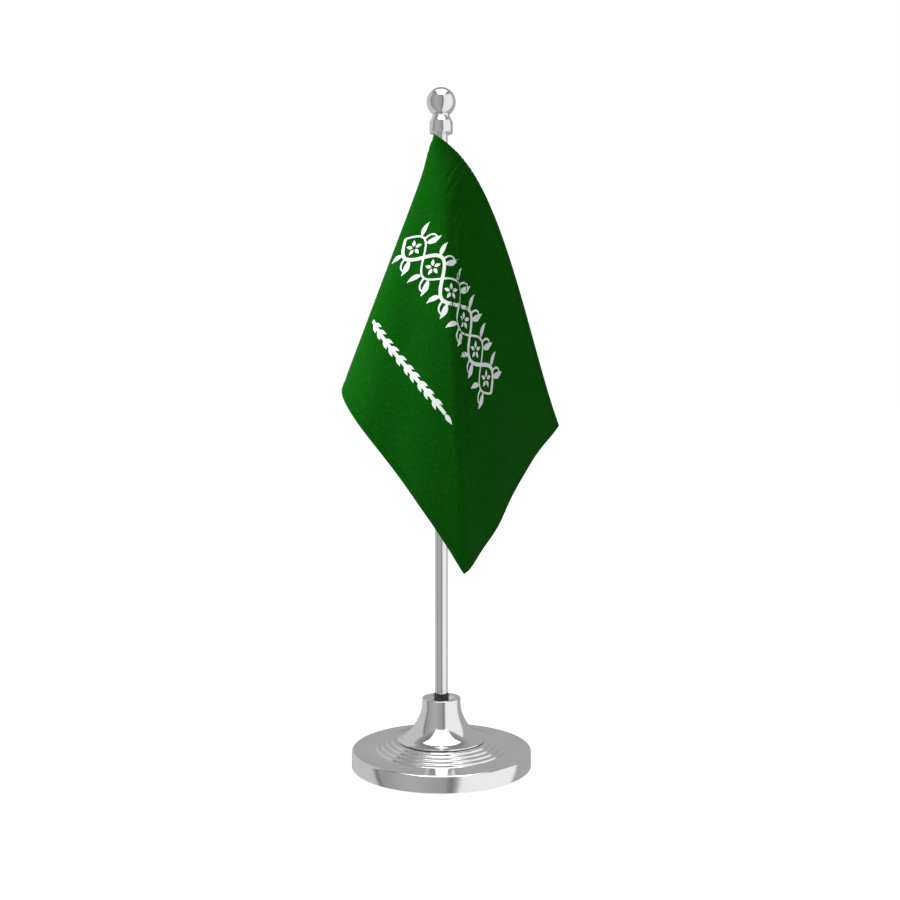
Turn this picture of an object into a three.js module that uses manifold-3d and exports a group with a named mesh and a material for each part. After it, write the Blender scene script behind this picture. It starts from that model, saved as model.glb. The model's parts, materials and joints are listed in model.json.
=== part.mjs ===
// Desk flag stand: a chromed weighted base with a trumpet collar, a plug-in pole, a draped
// flag on a cloth sleeve and a screw-on ball finial.
// Millimetres, +Z up, origin at the centre of the underside of the base pad.

import * as THREE from 'three';
import { mergeVertices } from 'three/addons/utils/BufferGeometryUtils.js';
import Module from 'manifold-3d';

const wasm = await Module();
wasm.setup();

// ---------------------------------------------------------------- driving dimensions

// Base
const BASE_RADIUS = 56;
const BASE_TOP = 11;
const BASE_WALL = 1.2;
const BASE_EDGE_ROUND = 1.4;
const STEP_COUNT = 4;
const STEP_RISE = 1.3;
const STEP_TREAD = 3.2;
const OUTER_STEP_RADIUS = 40.6;
const STEP_EDGE_ROUND = 0.5;
const PAD_THICKNESS = 1.5;
const PAD_INSET = 3;
const COVER_LIFT = 0.7;
const UNDERSIDE_FALL = 0.2;
const WEIGHT_SIDE_GAP = 1;

// Trumpet collar
const COLLAR_FOOT_RADIUS = 27.5;
const COLLAR_FOOT_HEIGHT = 0.8;
const COLLAR_NECK_RADIUS = 12;
const COLLAR_NECK_LENGTH = 4.4;
const COLLAR_TOP = 42.8;
const COLLAR_LIP_ROUND = 0.4;
const FLARE_NECK_PULL = 6;
const FLARE_FOOT_PULL = 9;
const FLARE_FOOT_SLOPE = 0.12;
const GASKET_THICKNESS = 0.4;
const GASKET_INSET = 0.4;
const GASKET_HOLE_MARGIN = 4;
const SOCKET_DEPTH = 16.3;
const SOCKET_CHAMFER = 1.9;
const THREAD_LEDGE = 1;

// Bolt that holds the base together
const BOLT_RADIUS = 3;
const BOLT_HEAD_FLATS = 10;
const BOLT_HEAD_HEIGHT = 3.4;
const BOLT_ENGAGEMENT = 7;
const BOLT_RECESS_RADIUS = 9;
const WASHER_THICKNESS = 1;
const SPRING_WASHER_THICKNESS = 1.4;
const SPRING_WASHER_SLIT = 1;
const SPRING_WASHER_WIDTH = 2.6;
const SPRING_WASHER_SLANT = 25;
const FLAT_WASHER_INSET = 1.5;

// Pole, with its bush and end plug
const POLE_RADIUS = 4;
const POLE_WALL = 0.8;
const POLE_TOP = 396;
const BUSH_BODY_WALL = 1.85;
const BUSH_NOSE_WALL = 0.4;
const BUSH_NOSE_ABOVE_COLLAR = 2.6;
const BUSH_SHOULDER_BELOW_COLLAR = 4.3;
const PLUG_HEAD_LIP = 1;
const PLUG_HEAD_HEIGHT = 2.6;
const PLUG_SPIGOT_LENGTH = 8;
const RING_SECTION = 0.5;
const RING_GROOVE_DEPTH = 0.85;
const RING_GROOVE_CLEARANCE = 0.15;
const RING_ABOVE_BUSH_FOOT = 6;
const BUSH_SHOULDER_CHAMFER = 0.6;
const INSERT_LENGTH = 14;

// Finial
const BALL_RADIUS = 8.9;
const FINIAL_COLLAR_WALL = 2.95;
const FINIAL_COLLAR_LENGTH = 6.9;
const FINIAL_OVERLAP = 4.7;
const FINIAL_SHOULDER_HEIGHT = 4;
const FINIAL_NECK_RADIUS = 5.2;
const FINIAL_NECK_LENGTH = 0.8;
const FINIAL_WASHER_THICKNESS = 0.8;
const FINIAL_WASHER_INSET = 0.2;
const SHOULDER_DISH = 0.35;
const STUD_RADIUS = 2;
const STUD_ENGAGEMENT = 4.9;
const STUD_IN_BALL = 6;

// Flag
const FLAG_HOIST = 150;
const FLAG_FLY = 225;
const CLOTH_THICKNESS = 0.6;
const GAP_UNDER_FINIAL = 1.3;
const SLEEVE_WALL = 0.4;
const SLEEVE_BELOW_CORNER = 9;
const STOP_RING_SECTION = 0.9;

// Clearances
const FIT = 0.3;
const RUNNING_FIT = 0.15;
const FACE_GAP = 0.1;

// Chamfers: on turned ends, on skirts and mouths, and on small edges
const END_CHAMFER = 0.8;
const TIP_CHAMFER = 0.5;
const SMALL_CHAMFER = 0.4;
const SKIRT_CHAMFER = 0.3;

// Facets round the wide pieces and round the slim ones
const ROUND = 48;
const SLIM = 32;

// ---------------------------------------------------------------- sizes worked out from these

const STEPS_TOP = BASE_TOP + STEP_COUNT * STEP_RISE;
const COLLAR_BOTTOM = STEPS_TOP + GASKET_THICKNESS + FACE_GAP;
const SOCKET_RADIUS = POLE_RADIUS + RUNNING_FIT + BUSH_BODY_WALL + FIT;
const SOCKET_FLOOR = COLLAR_TOP - SOCKET_DEPTH;
const BUSH_BOTTOM = SOCKET_FLOOR + FIT;
const BUSH_SHOULDER = COLLAR_TOP - BUSH_SHOULDER_BELOW_COLLAR;
const BUSH_TOP = COLLAR_TOP + BUSH_NOSE_ABOVE_COLLAR;
const PLUG_BOTTOM = SOCKET_FLOOR + FIT;
const PLUG_HEAD_RADIUS = POLE_RADIUS + PLUG_HEAD_LIP;
const POLE_BOTTOM = PLUG_BOTTOM + PLUG_HEAD_HEIGHT + FACE_GAP;
const FINIAL_COLLAR_RADIUS = POLE_RADIUS + RUNNING_FIT + FINIAL_COLLAR_WALL;
const FINIAL_BOTTOM = POLE_TOP - FINIAL_OVERLAP;
const FINIAL_SHOULDER = FINIAL_BOTTOM + FINIAL_COLLAR_LENGTH;
const FINIAL_NECK = FINIAL_SHOULDER + FINIAL_SHOULDER_HEIGHT;
const FINIAL_TOP = FINIAL_NECK + FINIAL_NECK_LENGTH;
const HOIST_TOP = FINIAL_BOTTOM - GAP_UNDER_FINIAL;
const SLEEVE_INNER = POLE_RADIUS + RUNNING_FIT;
const SLEEVE_OUTER = SLEEVE_INNER + SLEEVE_WALL;
const SLEEVE_BOTTOM = HOIST_TOP - FLAG_HOIST;

// ---------------------------------------------------------------- materials

function finish(color, roughness, metalness) {
  return new THREE.MeshStandardMaterial({ color, roughness, metalness });
}

const CHROME = finish(0xc9cccf, 0.12, 1);
const STEEL = finish(0x8f9296, 0.4, 1);
const IRON = finish(0x3c3d3f, 0.8, 0.6);
const BRASS = finish(0xb08d4a, 0.35, 1);
const BLACK_PLASTIC = finish(0x151515, 0.5, 0);
const RUBBER = finish(0x1b1b1c, 0.9, 0);
const FELT = finish(0x202322, 1, 0);
const NYLON = finish(0xe7e5dc, 0.5, 0);
const FLAG_GREEN = finish(0x14541a, 0.75, 0);

// ---------------------------------------------------------------- geometry helpers

// A solid of revolution about Z. The profile is a list of [radius, height] points that runs up
// the outside and down the inside, and either ends on the axis or closes on itself.
function lathe(profile, segments) {
  const points = profile.map(([radius, height]) => new THREE.Vector2(radius, height));
  const geometry = new THREE.LatheGeometry(points, segments);
  geometry.rotateX(Math.PI / 2);
  return geometry;
}

// A plain ring or disc between two radii and two heights.
function ring(inner, outer, bottom, top, segments) {
  const side = [[outer, bottom], [outer, top]];
  if (inner === 0) {
    return lathe([[0, bottom], ...side, [0, top]], segments);
  }
  return lathe([[inner, bottom], ...side, [inner, top], [inner, bottom]], segments);
}

// A torus of round section about Z.
function roundRing(radius, section, height) {
  const geometry = new THREE.TorusGeometry(radius, section, 8, SLIM);
  geometry.translate(0, 0, height);
  return geometry;
}

// Points on a quarter arc, from one angle to another, both in degrees.
function arc(centreRadius, centreHeight, radius, from, to, steps) {
  const points = [];
  for (let i = 0; i <= steps; i++) {
    const angle = THREE.MathUtils.degToRad(from + ((to - from) * i) / steps);
    points.push([centreRadius + radius * Math.cos(angle), centreHeight + radius * Math.sin(angle)]);
  }
  return points;
}

function toSolid(geometry) {
  const plain = geometry.clone();
  plain.deleteAttribute('normal');
  plain.deleteAttribute('uv');
  const merged = mergeVertices(plain, 1e-5);
  const index = merged.index.array;
  const triangles = [];
  for (let i = 0; i < index.length; i += 3) {
    const [a, b, c] = [index[i], index[i + 1], index[i + 2]];
    if (a !== b && b !== c && c !== a) {
      triangles.push(a, b, c);
    }
  }
  return new wasm.Manifold(new wasm.Mesh({
    numProp: 3,
    vertProperties: new Float32Array(merged.attributes.position.array),
    triVerts: new Uint32Array(triangles),
  }));
}

function toGeometry(solid) {
  const mesh = solid.getMesh();
  const geometry = new THREE.BufferGeometry();
  geometry.setAttribute('position', new THREE.BufferAttribute(new Float32Array(mesh.vertProperties), 3));
  geometry.setIndex(new THREE.BufferAttribute(new Uint32Array(mesh.triVerts), 1));
  geometry.computeVertexNormals();
  return geometry;
}

function piece(name, geometry, material) {
  const mesh = new THREE.Mesh(geometry, material);
  mesh.name = name;
  return mesh;
}

// ---------------------------------------------------------------- base

function basePad() {
  return piece('base_pad', ring(0, BASE_RADIUS - PAD_INSET, 0, PAD_THICKNESS, ROUND), FELT);
}

// Chromed shell: a rounded rim, a flat margin and then a stack of rising steps.
function baseCover() {
  const rimHeight = BASE_TOP - BASE_EDGE_ROUND;
  const outside = [[BASE_RADIUS, COVER_LIFT]];
  outside.push(...arc(BASE_RADIUS - BASE_EDGE_ROUND, rimHeight, BASE_EDGE_ROUND, 0, 90, 4));
  for (let step = 0; step < STEP_COUNT; step++) {
    const radius = OUTER_STEP_RADIUS - step * STEP_TREAD;
    const foot = BASE_TOP + step * STEP_RISE;
    outside.push([radius, foot]);
    outside.push(...arc(radius - STEP_EDGE_ROUND, foot + STEP_RISE - STEP_EDGE_ROUND,
      STEP_EDGE_ROUND, 0, 90, 2));
  }
  const hole = BOLT_RADIUS + FIT;
  const lastStep = OUTER_STEP_RADIUS - (STEP_COUNT - 1) * STEP_TREAD;
  const inside = [
    [hole, STEPS_TOP],
    [hole, STEPS_TOP - BASE_WALL],
    [lastStep - BASE_WALL, STEPS_TOP - BASE_WALL],
    [OUTER_STEP_RADIUS - BASE_WALL, BASE_TOP - BASE_WALL],
    [BASE_RADIUS - BASE_WALL, BASE_TOP - BASE_WALL - UNDERSIDE_FALL],
    [BASE_RADIUS - BASE_WALL, COVER_LIFT],
    [BASE_RADIUS, COVER_LIFT],
  ];
  return piece('base_cover', lathe([...outside, ...inside], ROUND), CHROME);
}

// Cast disc that fills the shell and carries the bolt head in a recess underneath.
const WEIGHT_BOTTOM = PAD_THICKNESS + FACE_GAP;
const RECESS_CEILING = WEIGHT_BOTTOM + BOLT_HEAD_HEIGHT + SPRING_WASHER_THICKNESS
  + WASHER_THICKNESS + 4 * FACE_GAP;

function baseWeight() {
  const radius = BASE_RADIUS - BASE_WALL - FIT;
  const rimTop = BASE_TOP - BASE_WALL - FIT - UNDERSIDE_FALL;
  const bossRadius = OUTER_STEP_RADIUS - (STEP_COUNT - 1) * STEP_TREAD - BASE_WALL
    - WEIGHT_SIDE_GAP;
  const shoulderRadius = OUTER_STEP_RADIUS - BASE_WALL - WEIGHT_SIDE_GAP;
  const bossTop = STEPS_TOP - BASE_WALL - FIT;
  const hole = BOLT_RADIUS + FIT;
  return piece('base_weight', lathe([
    [radius - END_CHAMFER, WEIGHT_BOTTOM],
    [radius, WEIGHT_BOTTOM + END_CHAMFER],
    [radius, rimTop],
    [shoulderRadius, rimTop],
    [bossRadius, bossTop],
    [hole, bossTop],
    [hole, RECESS_CEILING],
    [BOLT_RECESS_RADIUS, RECESS_CEILING],
    [BOLT_RECESS_RADIUS, WEIGHT_BOTTOM],
    [radius - END_CHAMFER, WEIGHT_BOTTOM],
  ], ROUND), IRON);
}

function baseBolt() {
  const headBottom = WEIGHT_BOTTOM + FACE_GAP;
  const head = new THREE.CylinderGeometry(BOLT_HEAD_FLATS / Math.sqrt(3), BOLT_HEAD_FLATS / Math.sqrt(3),
    BOLT_HEAD_HEIGHT, 6);
  head.rotateX(Math.PI / 2);
  head.translate(0, 0, headBottom + BOLT_HEAD_HEIGHT / 2);
  const top = COLLAR_BOTTOM + BOLT_ENGAGEMENT;
  const shank = lathe([
    [0, headBottom + BOLT_HEAD_HEIGHT / 2],
    [BOLT_RADIUS, headBottom + BOLT_HEAD_HEIGHT / 2],
    [BOLT_RADIUS, top - END_CHAMFER],
    [BOLT_RADIUS - END_CHAMFER, top],
    [0, top],
  ], SLIM);
  return piece('base_bolt', toGeometry(toSolid(head).add(toSolid(shank))), STEEL);
}

function springWasher() {
  const bottom = WEIGHT_BOTTOM + BOLT_HEAD_HEIGHT + 2 * FACE_GAP;
  const outer = BOLT_RADIUS + SPRING_WASHER_WIDTH;
  const body = ring(BOLT_RADIUS + FIT, outer, bottom, bottom + SPRING_WASHER_THICKNESS, SLIM);
  const slit = new THREE.BoxGeometry(outer, SPRING_WASHER_SLIT, outer);
  slit.rotateX(THREE.MathUtils.degToRad(SPRING_WASHER_SLANT));
  slit.translate(outer, 0, bottom + SPRING_WASHER_THICKNESS / 2);
  return piece('spring_washer', toGeometry(toSolid(body).subtract(toSolid(slit))), STEEL);
}

function flatWasher() {
  const bottom = WEIGHT_BOTTOM + BOLT_HEAD_HEIGHT + SPRING_WASHER_THICKNESS + 3 * FACE_GAP;
  const outer = BOLT_RECESS_RADIUS - FLAT_WASHER_INSET;
  return piece('flat_washer',
    ring(BOLT_RADIUS + FIT, outer, bottom, bottom + WASHER_THICKNESS, SLIM), STEEL);
}

function collarGasket() {
  const bottom = STEPS_TOP + FACE_GAP / 2;
  return piece('collar_gasket', ring(BOLT_RADIUS + GASKET_HOLE_MARGIN, COLLAR_FOOT_RADIUS - GASKET_INSET,
    bottom, bottom + GASKET_THICKNESS, ROUND), RUBBER);
}

// ---------------------------------------------------------------- trumpet collar

function stemCollar() {
  const footTop = COLLAR_BOTTOM + COLLAR_FOOT_HEIGHT;
  const neckFoot = COLLAR_TOP - COLLAR_NECK_LENGTH;
  const flare = new THREE.CubicBezierCurve(
    new THREE.Vector2(COLLAR_FOOT_RADIUS, footTop),
    new THREE.Vector2(COLLAR_FOOT_RADIUS - FLARE_FOOT_PULL, footTop + FLARE_FOOT_SLOPE * FLARE_FOOT_PULL),
    new THREE.Vector2(COLLAR_NECK_RADIUS, neckFoot - FLARE_NECK_PULL),
    new THREE.Vector2(COLLAR_NECK_RADIUS, neckFoot),
  );
  const outside = [[COLLAR_FOOT_RADIUS, COLLAR_BOTTOM]];
  outside.push(...flare.getPoints(10).map((point) => [point.x, point.y]));
  outside.push(...arc(COLLAR_NECK_RADIUS - COLLAR_LIP_ROUND, COLLAR_TOP - COLLAR_LIP_ROUND,
    COLLAR_LIP_ROUND, 0, 90, 2));
  const boltHole = BOLT_RADIUS + FIT;
  const boltHoleTop = COLLAR_BOTTOM + BOLT_ENGAGEMENT + FIT;
  return piece('stem_collar', lathe([
    ...outside,
    [SOCKET_RADIUS + SOCKET_CHAMFER, COLLAR_TOP],
    [SOCKET_RADIUS, COLLAR_TOP - SOCKET_CHAMFER],
    [SOCKET_RADIUS, SOCKET_FLOOR],
    [boltHole - THREAD_LEDGE, SOCKET_FLOOR],
    [boltHole - THREAD_LEDGE, boltHoleTop],
    [boltHole, boltHoleTop],
    [boltHole, COLLAR_BOTTOM],
    [COLLAR_FOOT_RADIUS, COLLAR_BOTTOM],
  ], ROUND), CHROME);
}

// ---------------------------------------------------------------- pole

const GROOVE_HEIGHT = BUSH_BOTTOM + RING_ABOVE_BUSH_FOOT;

// Plastic bush on the pole's foot: it fills the socket, and a thin nose stands up round the pole.
function poleBush() {
  const outer = SOCKET_RADIUS - FIT;
  const bore = POLE_RADIUS + RUNNING_FIT;
  const nose = bore + BUSH_NOSE_WALL;
  const counterbore = PLUG_HEAD_RADIUS + RUNNING_FIT;
  const grooveFloor = outer - RING_GROOVE_DEPTH;
  const grooveHalf = RING_SECTION + RING_GROOVE_CLEARANCE;
  const plugTop = PLUG_BOTTOM + PLUG_HEAD_HEIGHT + FIT;
  return piece('pole_bush', lathe([
    [outer, BUSH_BOTTOM],
    [outer, GROOVE_HEIGHT - grooveHalf],
    [grooveFloor, GROOVE_HEIGHT - grooveHalf],
    [grooveFloor, GROOVE_HEIGHT + grooveHalf],
    [outer, GROOVE_HEIGHT + grooveHalf],
    [outer, BUSH_SHOULDER - BUSH_SHOULDER_CHAMFER],
    [outer - BUSH_SHOULDER_CHAMFER, BUSH_SHOULDER],
    [nose, BUSH_SHOULDER],
    [nose, BUSH_TOP],
    [bore, BUSH_TOP],
    [bore, plugTop],
    [counterbore, plugTop],
    [counterbore, BUSH_BOTTOM],
    [outer, BUSH_BOTTOM],
  ], SLIM), BLACK_PLASTIC);
}

function bushRing() {
  const radius = SOCKET_RADIUS - FIT - RING_GROOVE_DEPTH + RING_SECTION + FACE_GAP;
  return piece('bush_ring', roundRing(radius, RING_SECTION, GROOVE_HEIGHT), RUBBER);
}

function poleTube() {
  return piece('pole_tube', ring(POLE_RADIUS - POLE_WALL, POLE_RADIUS, POLE_BOTTOM, POLE_TOP, SLIM), CHROME);
}

function poleEndPlug() {
  const spigot = POLE_RADIUS - POLE_WALL - FACE_GAP;
  const headTop = PLUG_BOTTOM + PLUG_HEAD_HEIGHT;
  const top = headTop + PLUG_SPIGOT_LENGTH;
  return piece('pole_end_plug', lathe([
    [0, PLUG_BOTTOM],
    [PLUG_HEAD_RADIUS - SMALL_CHAMFER, PLUG_BOTTOM],
    [PLUG_HEAD_RADIUS, PLUG_BOTTOM + SMALL_CHAMFER],
    [PLUG_HEAD_RADIUS, headTop],
    [spigot, headTop],
    [spigot, top - END_CHAMFER],
    [spigot - END_CHAMFER, top],
    [0, top],
  ], SLIM), STEEL);
}

function poleInsert() {
  const outer = POLE_RADIUS - POLE_WALL - FACE_GAP;
  return piece('pole_insert',
    ring(STUD_RADIUS + RUNNING_FIT, outer, POLE_TOP - INSERT_LENGTH, POLE_TOP, SLIM), BRASS);
}

function sleeveStopRing() {
  return piece('sleeve_stop_ring', roundRing(POLE_RADIUS + STOP_RING_SECTION + FACE_GAP,
    STOP_RING_SECTION, SLEEVE_BOTTOM - STOP_RING_SECTION - RUNNING_FIT), RUBBER);
}

// ---------------------------------------------------------------- finial

const WASHER_BOTTOM = POLE_TOP + FACE_GAP;
const CAP_CEILING = WASHER_BOTTOM + FINIAL_WASHER_THICKNESS + FACE_GAP;
const BALL_CENTRE = FINIAL_TOP + FACE_GAP
  + Math.sqrt(BALL_RADIUS * BALL_RADIUS - FINIAL_NECK_RADIUS * FINIAL_NECK_RADIUS);
const STUD_TOP = FINIAL_TOP + STUD_IN_BALL;

function finialWasher() {
  return piece('finial_washer', ring(STUD_RADIUS + FIT, POLE_RADIUS - FINIAL_WASHER_INSET,
    WASHER_BOTTOM, WASHER_BOTTOM + FINIAL_WASHER_THICKNESS, SLIM), NYLON);
}

// Cap that slips over the pole's end: a straight skirt, a hollow shoulder and a short neck.
function finialCollar() {
  const boreRadius = POLE_RADIUS + RUNNING_FIT;
  const holeRadius = STUD_RADIUS + FACE_GAP;
  const middle = (FINIAL_COLLAR_RADIUS + FINIAL_NECK_RADIUS) / 2;
  const shoulder = new THREE.QuadraticBezierCurve(
    new THREE.Vector2(FINIAL_COLLAR_RADIUS, FINIAL_SHOULDER),
    new THREE.Vector2(middle - SHOULDER_DISH, (FINIAL_SHOULDER + FINIAL_NECK) / 2),
    new THREE.Vector2(FINIAL_NECK_RADIUS, FINIAL_NECK),
  );
  return piece('finial_collar', lathe([
    [FINIAL_COLLAR_RADIUS - SKIRT_CHAMFER, FINIAL_BOTTOM],
    [FINIAL_COLLAR_RADIUS, FINIAL_BOTTOM + SKIRT_CHAMFER],
    ...shoulder.getPoints(5).map((point) => [point.x, point.y]),
    [FINIAL_NECK_RADIUS, FINIAL_TOP],
    [holeRadius, FINIAL_TOP],
    [holeRadius, CAP_CEILING],
    [boreRadius, CAP_CEILING],
    [boreRadius, FINIAL_BOTTOM + TIP_CHAMFER],
    [boreRadius + TIP_CHAMFER, FINIAL_BOTTOM],
    [FINIAL_COLLAR_RADIUS - SKIRT_CHAMFER, FINIAL_BOTTOM],
  ], SLIM), CHROME);
}

function finialBall() {
  const bottom = FINIAL_TOP + FACE_GAP;
  const seat = THREE.MathUtils.radToDeg(Math.asin((bottom - BALL_CENTRE) / BALL_RADIUS));
  const hole = STUD_RADIUS + FACE_GAP;
  const holeTop = STUD_TOP + FIT;
  const outside = arc(0, BALL_CENTRE, BALL_RADIUS, seat, 90, 12);
  outside[outside.length - 1][0] = 0;
  return piece('finial_ball', lathe([
    [0, holeTop],
    [hole, holeTop],
    [hole, bottom],
    ...outside,
  ], SLIM), CHROME);
}

function finialStud() {
  const bottom = POLE_TOP - STUD_ENGAGEMENT;
  return piece('finial_stud', lathe([
    [0, bottom],
    [STUD_RADIUS - TIP_CHAMFER, bottom],
    [STUD_RADIUS, bottom + TIP_CHAMFER],
    [STUD_RADIUS, STUD_TOP - TIP_CHAMFER],
    [STUD_RADIUS - TIP_CHAMFER, STUD_TOP],
    [0, STUD_TOP],
  ], SLIM), STEEL);
}

// ---------------------------------------------------------------- flag

// The top hoist corner, on the front left of the sleeve.
const APEX = new THREE.Vector3(-0.77, -0.77, 0).multiplyScalar(SLEEVE_OUTER).setZ(HOIST_TOP);

// The free edges as they hang: the lower edge from the hoist round the left fold to the lowest
// corner, and the fly edge from that corner to the top fly corner. The points are evenly spaced
// along each edge of the cloth. Each gives the steps across and back from the apex as shares of
// the fly, and its drop as a share of the hoist plus a share of the fly.
const LOWER_EDGE = edgeCurve([
  [0, 0, 1, 0],
  [-0.127, 0.127, 1, 0.005],
  [-0.253, 0.06, 1, 0.018],
  [-0.211, -0.06, 1, 0.116],
  [-0.111, -0.118, 1, 0.231],
  [-0.02, -0.162, 1, 0.353],
  [0.076, -0.189, 1, 0.5],
]);

const FLY_EDGE = edgeCurve([
  [0.076, -0.189, 1, 0.5],
  [0.153, -0.038, 0.667, 0.647],
  [0.249, 0.136, 0.333, 0.729],
  [0.356, 0.282, 0, 0.833],
]);

// How far the cloth near the top edge stands out from the straight line to the apex, at one
// third and two thirds of the way, as shares of the fly.
const BULGE_NEAR = new THREE.Vector3(0.062, -0.209, 0.169);
const BULGE_FAR = new THREE.Vector3(0.013, -0.111, -0.013);
const BULGE_START = 0.6;

function edgeCurve(points) {
  const hung = points.map(([across, back, hoistDrop, flyDrop]) => new THREE.Vector3(
    APEX.x + across * FLAG_FLY,
    APEX.y + back * FLAG_FLY,
    APEX.z - hoistDrop * FLAG_HOIST - flyDrop * FLAG_FLY,
  ));
  return new THREE.CatmullRomCurve3(hung, false, 'catmullrom', 0.5);
}

// Where a point of the flat cloth hangs. Every point lies on a curved line that runs from the
// apex, the top hoist corner, to the lower edge or the fly edge.
function clothPoint(alongFly, downHoist) {
  if (alongFly === 0 && downHoist === 0) {
    return APEX.clone();
  }
  const diagonal = alongFly * FLAG_HOIST <= downHoist * FLAG_FLY;
  const share = diagonal ? downHoist / FLAG_HOIST : alongFly / FLAG_FLY;
  const edge = diagonal
    ? LOWER_EDGE.getPoint(alongFly / share / FLAG_FLY)
    : FLY_EDGE.getPoint(1 - downHoist / share / FLAG_HOIST);
  const turn = THREE.MathUtils.smoothstep(Math.atan2(alongFly, downHoist), BULGE_START, Math.PI / 2);
  const near = APEX.clone().lerp(edge, 1 / 3).addScaledVector(BULGE_NEAR, turn * FLAG_FLY);
  const far = APEX.clone().lerp(edge, 2 / 3).addScaledVector(BULGE_FAR, turn * FLAG_FLY);
  const line = new THREE.CubicBezierCurve3(APEX, near, far, edge);
  return clearOfSleeve(line.getPoint(share));
}

// Pushes a point out from the pole's axis, strongly close to the sleeve and not at all far off.
function clearOfSleeve(point) {
  const keep = SLEEVE_OUTER + CLOTH_THICKNESS / 2 + RUNNING_FIT;
  const radius = Math.hypot(point.x, point.y);
  const pushed = (radius ** 8 + keep ** 8) ** (1 / 8);
  point.x *= pushed / radius;
  point.y *= pushed / radius;
  return point;
}

// The cloth as a thin closed sheet: two skins half a thickness each side of the hanging surface,
// joined round the four edges.
function flagCloth() {
  const columns = 24;
  const rows = 16;
  const middle = [];
  for (let row = 0; row <= rows; row++) {
    for (let column = 0; column <= columns; column++) {
      middle.push(clothPoint((FLAG_FLY * column) / columns, (FLAG_HOIST * row) / rows));
    }
  }
  const at = (column, row) => middle[row * (columns + 1) + column];
  const normals = [];
  for (let row = 0; row <= rows; row++) {
    for (let column = 0; column <= columns; column++) {
      const across = at(Math.min(column + 1, columns), row).clone().sub(at(Math.max(column - 1, 0), row));
      const down = at(column, Math.min(row + 1, rows)).clone().sub(at(column, Math.max(row - 1, 0)));
      normals.push(down.cross(across).normalize());
    }
  }
  const positions = [];
  for (const side of [0.5, -0.5]) {
    middle.forEach((point, i) => {
      positions.push(...point.clone().addScaledVector(normals[i], side * CLOTH_THICKNESS).toArray());
    });
  }
  const back = middle.length;
  const faces = [];
  const quad = (a, b, c, d) => faces.push(a, b, c, a, c, d);
  const id = (column, row) => row * (columns + 1) + column;
  for (let row = 0; row < rows; row++) {
    for (let column = 0; column < columns; column++) {
      const [a, b] = [id(column, row), id(column + 1, row)];
      const [c, d] = [id(column + 1, row + 1), id(column, row + 1)];
      quad(a, d, c, b);
      quad(back + a, back + b, back + c, back + d);
    }
  }
  const rim = [];
  for (let column = 0; column < columns; column++) {
    rim.push(id(column, 0));
  }
  for (let row = 0; row < rows; row++) {
    rim.push(id(columns, row));
  }
  for (let column = columns; column > 0; column--) {
    rim.push(id(column, rows));
  }
  for (let row = rows; row > 0; row--) {
    rim.push(id(0, row));
  }
  rim.forEach((from, i) => {
    const to = rim[(i + 1) % rim.length];
    quad(from, to, back + to, back + from);
  });
  const geometry = new THREE.BufferGeometry();
  geometry.setAttribute('position', new THREE.Float32BufferAttribute(positions, 3));
  geometry.setIndex(faces);
  geometry.computeVertexNormals();
  return piece('flag_cloth', geometry, FLAG_GREEN);
}

function flagSleeve() {
  return piece('flag_sleeve', ring(SLEEVE_INNER, SLEEVE_OUTER, SLEEVE_BOTTOM,
    HOIST_TOP - SLEEVE_BELOW_CORNER, SLIM), FLAG_GREEN);
}

// ---------------------------------------------------------------- assembly

const base = new THREE.Group();
base.add(basePad(), baseCover(), baseWeight(), baseBolt(), springWasher(), flatWasher(),
  collarGasket(), stemCollar());

const pole = new THREE.Group();
pole.add(poleBush(), bushRing(), poleTube(), poleEndPlug(), poleInsert(), sleeveStopRing());

const finial = new THREE.Group();
finial.add(finialWasher(), finialCollar(), finialBall(), finialStud());

const flag = new THREE.Group();
flag.add(flagSleeve(), flagCloth());

const stand = new THREE.Group();
stand.add(base, pole, finial, flag);

export default stand;
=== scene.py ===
"""Desk flag stand: the looks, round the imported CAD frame. Lengths are in metres."""

import json
import math
import random

import bmesh
import bpy
import numpy as np
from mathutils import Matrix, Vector


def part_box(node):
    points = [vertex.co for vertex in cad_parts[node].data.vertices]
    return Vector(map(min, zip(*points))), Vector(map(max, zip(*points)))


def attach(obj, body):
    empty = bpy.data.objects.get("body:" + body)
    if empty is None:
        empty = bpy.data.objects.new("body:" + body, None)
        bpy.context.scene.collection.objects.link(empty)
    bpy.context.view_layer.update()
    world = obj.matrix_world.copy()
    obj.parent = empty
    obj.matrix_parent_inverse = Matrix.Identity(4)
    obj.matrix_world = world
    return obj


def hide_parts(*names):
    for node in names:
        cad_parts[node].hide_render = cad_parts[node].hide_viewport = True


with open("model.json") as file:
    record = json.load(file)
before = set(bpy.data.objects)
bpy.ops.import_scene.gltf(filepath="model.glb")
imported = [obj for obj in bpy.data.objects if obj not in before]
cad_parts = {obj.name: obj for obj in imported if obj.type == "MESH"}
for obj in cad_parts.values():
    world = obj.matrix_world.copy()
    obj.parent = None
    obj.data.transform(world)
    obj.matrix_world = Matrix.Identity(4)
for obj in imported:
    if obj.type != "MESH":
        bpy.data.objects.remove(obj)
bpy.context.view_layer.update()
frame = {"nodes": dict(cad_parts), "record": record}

MM = 0.001
TINY = 1e-6

# Facets round a wide turned piece and round a slim one.
FINE = 144
SLIM = 72

# ---------------------------------------------------------------- camera

CAMERA_PLACE = (0.0054, -0.7275, 0.23)
CAMERA_TILT = 2.56
CAMERA_LENS = 47.03


def add_camera():
    """The view from the front, a little above the middle, looking slightly down."""
    data = bpy.data.cameras.new("camera")
    data.lens = CAMERA_LENS
    camera = bpy.data.objects.new("camera", data)
    camera.location = CAMERA_PLACE
    camera.rotation_euler = (math.radians(90 - CAMERA_TILT), 0, 0)
    bpy.context.collection.objects.link(camera)
    bpy.context.scene.camera = camera


# ---------------------------------------------------------------- the room and its light


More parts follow.
